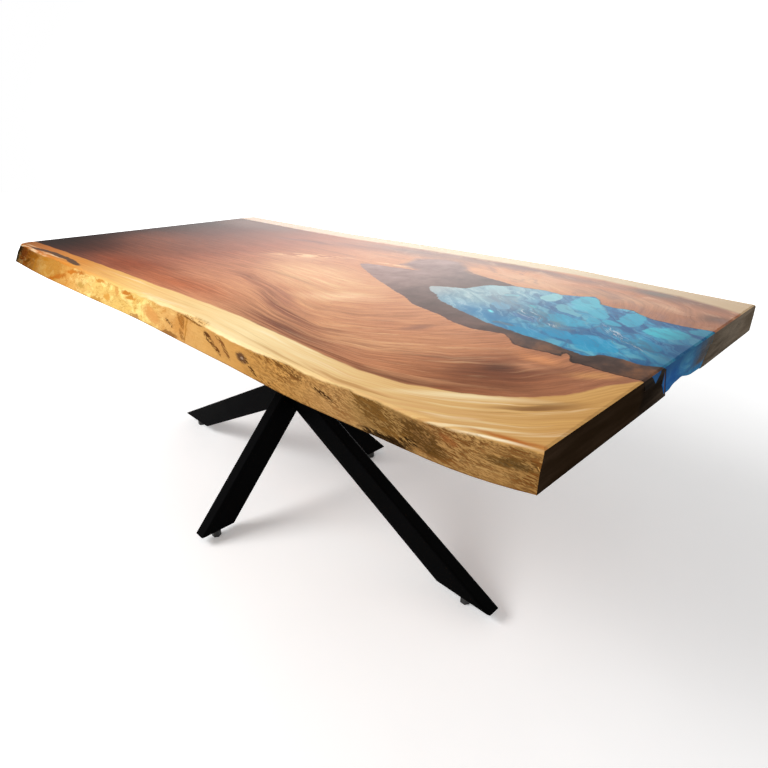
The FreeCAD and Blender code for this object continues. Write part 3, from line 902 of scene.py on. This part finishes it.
def bark_side(pot):
    along = pot.along()
    # The near-black start, over the first few hundredths, is painted shade on the rounded left corner.
    look = pot.ramp(along, [
        (0, "#130c05"), (0.02, "#221307"), (0.05, "#582a09"), (0.09, "#724412"), (0.13, "#95682e"),
        (0.17, "#ad7c36"), (0.22, "#b17b34"), (0.26, "#cd944a"), (0.31, "#d8a960"), (0.36, "#e2bb6c"),
        (0.5, "#e4bd6a"), (0.55, "#daa863"), (0.6, "#d09a59"), (0.63, "#d3a15e"), (0.72, "#c8924e"),
        (0.78, "#c6914f"), (0.84, "#c09159"), (0.88, "#b28651"), (0.93, "#a77b49"), (0.96, "#bb8e55"),
        (1, "#a97c45"),
    ])
    left = pot.times(pot.step(along, 0.62, 0.5), pot.step(along, 0.24, 0.34, 1, 0.15))
    cream = pot.cloud((18, 18, 40), 4, 0.6, 0.9)
    look = pot.lay(look, "#f9e294", left, pot.step(cream, 0.48, 0.62, 0.6))
    burl = pot.cloud((30, 30, 80), 5, 0.66, 0.8, turn=(0, -10, 0))
    stain = pot.step(along, 0.7, 0.55)
    look = pot.lay(look, "#b9792f", stain, pot.step(burl, 0.52, 0.7, 0.5))
    curl = pot.cloud((34, 34, 90), 5, 0.7, 2.2, turn=(0, -8, 0))
    vein = pot.step(pot.sum("ABSOLUTE", pot.sum("SUBTRACT", curl, 0.5)), 0.035, 0.008)
    vein = pot.times(vein, pot.step(burl, 0.42, 0.56))
    look = pot.lay(look, "#a3601f", stain, vein, 0.55)
    level = pot.cloud((7, 7, 260), 5, 0.7, 0.3, turn=(0, 1, 0))
    right = pot.step(along, 0.64, 0.92, 0.7, 0.1)
    look = pot.lay(look, "#7a5428", right, pot.step(level, 0.52, 0.68))
    look = pot.lay(look, "#c9a468", right, pot.step(level, 0.48, 0.36, 0.5))
    dashes = pot.cloud((46, 46, 250), 2.5, 0.6, 0.4, turn=(0, 14, 0))
    finer = pot.cloud((120, 120, 560), 4, 0.66, 0.3, turn=(0, 15, 0))
    crowd = pot.cloud((9, 9, 26), 2)
    many = pot.times(pot.step(along, 0.71, 0.755), pot.step(crowd, 0.34, 0.56, 1, 0.4))
    tracks = pot.most(pot.step(dashes, 0.525, 0.6), pot.step(finer, 0.52, 0.6, 0.9))
    tracks = pot.times(many, tracks)
    look = pot.lay(look, "#744318", tracks, 0.85)
    flat = pot.point("X", "Z")
    flat = pot.push(60, pot.step(along, 0.66, 0.54, 0.017, 0.007), 4, of=flat)
    ragged = pot.step(finer, 0.3, 0.7, 1.5, 0.5)
    for *oval, tone in BARK_STAINS_AND_PAINTED_SHADE:
        spot = pot.times(ragged, pot.spot(*oval, flat))
        look = pot.lay(look, tone, pot.step(spot, 0.04, 0.62, 0.9))
    broken = pot.most(pot.step(dashes, 0.47, 0.54), pot.step(finer, 0.51, 0.59))
    drawn = 0.0
    for *oval, tone in BARK_TRACKS:
        spot = pot.step(pot.spot(*oval, flat), 0.05, 0.45)
        cover = pot.times(spot, broken)
        look = pot.lay(look, tone, cover, 0.9)
        drawn = pot.most(drawn, cover)
    # Painted shade: the bark side darkens over its lowest 4 mm, towards the underside.
    low = pot.step("Z", underside + 0.004, underside, 0.5)
    look = pot.lay(look, "#5b3a18", low)
    dents = pot.sum("ADD", tracks, drawn)
    relief = pot.sum("SUBTRACT", pot.sum("MULTIPLY_ADD", burl, 0.8, level), dents)
    return look, relief


def edge_share(pot):
    """0 on the polished top, 1 on the bark side, with an uneven change just under the arris."""
    uneven = pot.cloud((14, 14, 40), 3)
    depth = pot.sum("ADD", pot.sum("SUBTRACT", top, "Z"), pot.step("X", 0.4, 0.6, 0.002))
    return pot.step(pot.sum("MULTIPLY_ADD", uneven, -0.012, depth), -0.002, 0.0015)


def polished_top():
    pot = Finish("polished_top")
    look, relief = polished_colour(pot)
    pot.bump(relief, 0.0001, 0.12)
    return pot.sheen(look, 0.5, Coat_Weight=0.08, Coat_Roughness=0.05)


def oiled_edge():
    pot = Finish("oiled_bark_side")
    look = near_the_bark(pot, sapwood(pot))
    side, relief = bark_side(pot)
    share = edge_share(pot)
    pot.bump(pot.times(relief, share), 0.003, 0.7)
    return pot.sheen(pot.lay(look, side, share), 0.6)


# %% [markdown]
# The two saw-cut ends show the wood across its pores, which soak up oil and turn dark; painted shade
# darkens them further, to nearly black, as ends that face away from the light. The underside is planed and
# sealed, with the same figure as the top but duller. Where the casting is cut or hangs free it shows its
# full depth of blue, with bright flecks along the lip; its clear shelf is as dark as the shaded wood below
# it, but for a small wedge of blue that ran in at the top.

# %% Ends and underside
# The far shelf's slope across the end, and where it starts once that slope is taken off.
LEAN = 1.3
FAR_SHELF = 0.102 - LEAN * 0.724


def end_tone(pot):
    """Oiled end grain, darkened further by painted shade, a little greyer towards the far corner."""
    lines = pot.cloud((30, 5, 46), 5, 0.6, 0.5)
    pores = pot.cloud(420, 2, 0.6)
    # Painted shade: these near-black tones darken the oiled end grain, as an end turned away from the light.
    dark = pot.ramp(lines, [(0.3, "#0e0906"), (0.5, "#1e1610"), (0.72, "#30251d")])
    grey = pot.ramp(lines, [(0.3, "#544a3e"), (0.5, "#6f6456"), (0.72, "#8d8070")])
    tone = pot.lay(dark, grey, pot.step("Y", -0.2, 0.4))
    return pot.lay(tone, "#0f0a06", pot.step(pores, 0.58, 0.7, 0.6)), pores


def end_grain():
    pot = Finish("end_grain")
    tone, pores = end_tone(pot)
    edge = pot.torn("heart", 0.012, 40)
    tone = pot.lay(tone, "#7a5a38", pot.step(edge, 0.01, 0, 0.06))
    pot.bump(pores, 0.0006, 0.5)
    return pot.sheen(tone, 0.7)


def planed_underside():
    pot = Finish("planed_underside")
    wood, relief = top_wood(pot)
    pot.bump(relief, 0.0004, 0.5)
    return pot.sheen(pot.lay(wood, "#5a3d29", 0.35), 0.62, 0.1)


def cut_resin():
    pot = Finish("cut_resin")
    cloud = pot.cloud((9, 14, 30), 5, 0.66, 0.8)
    look = pot.ramp(cloud, [(0.3, "#285688"), (0.5, "#3a76a2"), (0.7, "#5698b4")])
    look = pot.lay(look, "#164a94", pot.step("Y", 0.04, -0.05, 0.7))
    look = pot.lay(look, "#2b4c62", pot.step("Z", 0.728, 0.756, 0.45))
    flecks = pot.cloud(140, 3, 0.6)
    lip = pot.step("Z", underside + 0.022, underside + 0.002)
    bright = pot.times(lip, pot.step(flecks, 0.5, 0.62))
    look = pot.lay(look, "#3fa6c9", bright, 0.7)
    wood, pores = end_tone(pot)
    slope = pot.sum("MULTIPLY_ADD", "Z", -LEAN, "Y")
    slope = pot.torn(slope, 0.08, 45, 4)
    grey = pot.step(slope, FAR_SHELF - 0.05, FAR_SHELF + 0.06, 0.92)
    grey = pot.times(grey, pot.most(pot.step("Z", 0.712, 0.722), pot.step("Y", 0.17, 0.21)))
    look = pot.lay(look, wood, grey)
    # The wedge of blue in the clear shelf: deepest at y = -0.104, and gone 20 mm to either side.
    aside = pot.sum("ABSOLUTE", pot.sum("ADD", "Y", 0.104))
    wedge = pot.sum("MULTIPLY_ADD", aside, 0.9, pot.sum("SUBTRACT", top, "Z"))
    shelf = pot.times(pot.step("Y", -0.0715, -0.0735), pot.step(wedge, 0.017, 0.019))
    shelf = pot.times(shelf, pot.step("X", right_end - 0.002, right_end - 0.001))
    look = pot.lay(look, wood, shelf)
    pot.bump(pot.cloud(90, 3), 0.0006, 0.3)
    return pot.sheen(look, 0.5, Coat_Weight=0.02, Coat_Roughness=0.12)


top_finish = polished_top()
edge_finish = oiled_edge()
for material in (top_finish, edge_finish, end_grain(), planed_underside()):
    slab.data.materials.append(material)
for material in (top_finish, cut_resin()):
    river.data.materials.append(material)

ON_TOP, ON_BARK, ON_END, BELOW = range(4)
for face in slab.data.polygons:
    out = face.normal
    by_an_end = abs(face.center.x) > right_end - 0.007
    if by_an_end and abs(out.x) > 0.5:
        face.material_index = ON_END
    elif out.z > 0.9 and face.center.z > top - 0.001 or out.z > 0.4 and by_an_end:
        face.material_index = ON_TOP
    elif out.z < -0.8 or abs(face.center.y) < 0.4:
        face.material_index = BELOW
    else:
        face.material_index = ON_BARK
        face.use_smooth = True
for face in river.data.polygons:
    face.material_index = 0 if face.normal.z > 0.5 and face.center.z > top - 0.004 else 1
print("finishes on the slab:", [m.name for m in slab.data.materials])


# %% [markdown]
# The base is powder coated: a matt black skin with a fine orange-peel texture, a little greyer where it is
# handled and knocked. Zinc, black oxide, brass and nylon finish the fixings.

# %% Metal and nylon finishes
def powder_coat():
    pot = Finish("black_powder_coat")
    peel = pot.cloud(900, 2, 0.6)
    dust = pot.cloud(7, 4, 0.6)
    look = pot.ramp(dust, [(0.35, "#030303"), (0.7, "#060607")])
    pot.bump(peel, 0.0002, 0.35)
    rough = pot.step(dust, 0.3, 0.7, 0.6, 0.5)
    return pot.sheen(look, rough, 0.01)


def plated(name, low, high, metal, rough):
    pot = Finish(name)
    patches = pot.cloud(160, 3, 0.6)
    scratches = pot.cloud((1500, 1500, 120), 2)
    pot.bump(scratches, 0.0001, 0.4)
    return pot.sheen(pot.ramp(patches, [(0.35, low), (0.65, high)]),
                     pot.step(patches, 0.3, 0.7, rough + 0.15, rough), 0.5, Metallic=metal)


coat = powder_coat()
zinc = plated("zinc_plate", "#a9aaa6", "#c9cac4", 1, 0.28)
black_oxide = plated("black_oxide", "#141414", "#24211f", 0.7, 0.38)
brass = plated("turned_brass", "#b08a3e", "#cda85a", 1, 0.30)
nylon = plated("black_nylon", "#0e0e0e", "#191919", 0, 0.48)

BY_NAME = {"tube": coat, "arm": coat, "leg": coat, "plate": coat, "weld_nuts": zinc,
           "levelling_stud": zinc, "levelling_foot": nylon, "mounting_bolts": black_oxide,
           "threaded_inserts": brass}
for node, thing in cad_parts.items():
    for word, material in BY_NAME.items():
        if word in node:
            thing.data.materials.clear()
            thing.data.materials.append(material)
welds.data.materials.append(coat)
bolts.data.materials.append(black_oxide)
for side in SIDES:
    bpy.data.objects[side + "_foot_pad"].data.materials.append(nylon)
    bpy.data.objects[side + "_threaded_stud"].data.materials.append(zinc)
print("steel finishes are on")

# %% [markdown]
# The studio: a pale floor that keeps the table's shadow, a plain white surround, a large soft key light
# from the left and a wide panel behind. The panel lights no wood; it is there for its reflection, which
# lies as a haze on the far end of the gloss.

# %% Floor and light
def square(size):
    shape = bmesh.new()
    bmesh.ops.create_grid(shape, x_segments=1, y_segments=1, size=size)
    return shape


def looked_at(pot):
    """1 where the camera looks, straight or by way of a mirror, and 0 for light that is on its way."""
    rays = pot.node("LightPath").outputs
    return pot.most(rays["Is Camera Ray"], rays["Is Glossy Ray"], rays["Is Transmission Ray"])


def make_floor():
    floor = object_of(square(14), "studio_floor")
    pot = Finish("pale_floor")
    speck = pot.cloud(3, 3)
    fade = pot.times(looked_at(pot), pot.step(pot.reach(pot.place), 1.2, 5, 1, 0.15))
    look = pot.ramp(speck, [(0.3, "#fbfbfb"), (0.7, "#f8f8f8")])
    floor.data.materials.append(pot.sheen(look, 0.9, Emission_Color=(1, 1, 1, 1), Emission_Strength=fade))


def make_surround(ambient):
    pot = Finish("studio", "worlds")
    level = pot.node("MapRange", {0: looked_at(pot), 3: ambient}).outputs[0]
    pot.give(pot.skin.inputs["Strength"], level)
    pot.give(pot.skin.inputs["Color"], (1, 1, 1, 1))
    bpy.context.scene.world = pot.material


def glow_panel(place, size, strength):
    """A soft window far behind: brightest in its middle, with no edge of its own."""
    shape = square(1)
    turn = math.atan2(-place[0], place[1])
    upright = Matrix.Rotation(turn, 4, "Z") @ Matrix.Rotation(math.radians(90), 4, "X")
    wide = Matrix.Diagonal((size[0] / 2, size[1] / 2, 1, 1))
    bmesh.ops.transform(shape, matrix=Matrix.Translation(place) @ upright @ wide, verts=shape.verts)
    panel = object_of(shape, "glow_panel")
    pot = Finish("window_glow")
    near = pot.framed((0, 0, math.degrees(turn)), (size[0] / 2, 9, size[1] / 2), place)
    light = pot.node("Emission", {"Strength": pot.step(pot.reach(near), 1.0, 0.0, strength)}).outputs[0]
    clear = pot.node("BsdfTransparent").outputs[0]
    both = pot.node("AddShader", {0: light, 1: clear}).outputs[0]
    pot.give(pot.tree.nodes["Material Output"].inputs["Surface"], both)
    panel.data.materials.append(pot.material)
    panel.visible_diffuse = False


def soft_light(name, place, aim, size, power):
    lamp = bpy.data.lights.new(name, "AREA")
    lamp.shape = "RECTANGLE"
    lamp.size, lamp.size_y = size
    lamp.energy = power
    light = bpy.data.objects.new(name, lamp)
    light.location = place
    light.rotation_euler = (Vector(aim) - Vector(place)).to_track_quat("-Z", "Y").to_euler()
    bpy.context.scene.collection.objects.link(light)


make_floor()
make_surround(0.62)
soft_light("key", (-2.6, -3.2, 3.6), (0, 0, 0.7), (3.0, 2.0), 210)
glow_panel((-3.97, 6.95, 0.88), (18.4, 7.9), 16.4)
bpy.context.scene.view_settings.view_transform = "Standard"
print("the floor and the lights are in place")

# %% [markdown]
# The camera stands at the right-hand near corner, a little above the top. Its place, its heading and its
# focal length are set so that the table fills a square picture with its long side running away.

# %% Camera
SENSOR_WIDTH = 36
CAMERA_PLACE = Vector((1.2818, -0.9428, 1.0878))
CAMERA_YAW = math.radians(-45.559)
CAMERA_PITCH = math.radians(23.853)
CAMERA_ROLL = math.radians(0.421)
FOCAL_PIXELS = 558.307
PICTURE_PIXELS = 768


def make_camera():
    forward = Vector((math.sin(CAMERA_YAW) * math.cos(CAMERA_PITCH),
                      math.cos(CAMERA_YAW) * math.cos(CAMERA_PITCH), -math.sin(CAMERA_PITCH)))
    level = Vector((math.cos(CAMERA_YAW), -math.sin(CAMERA_YAW), 0))
    drop = forward.cross(level)
    right = math.cos(CAMERA_ROLL) * level + math.sin(CAMERA_ROLL) * drop
    down = -math.sin(CAMERA_ROLL) * level + math.cos(CAMERA_ROLL) * drop
    data = bpy.data.cameras.new("camera")
    data.sensor_width = SENSOR_WIDTH
    data.lens = FOCAL_PIXELS / PICTURE_PIXELS * SENSOR_WIDTH
    camera = bpy.data.objects.new("camera", data)
    turn = Matrix((right, -down, -forward)).transposed()
    camera.matrix_world = Matrix.Translation(CAMERA_PLACE) @ turn.to_4x4()
    bpy.context.scene.collection.objects.link(camera)
    bpy.context.scene.camera = camera
    return camera


camera = make_camera()
print("the lens is", round(camera.data.lens, 2), "mm")
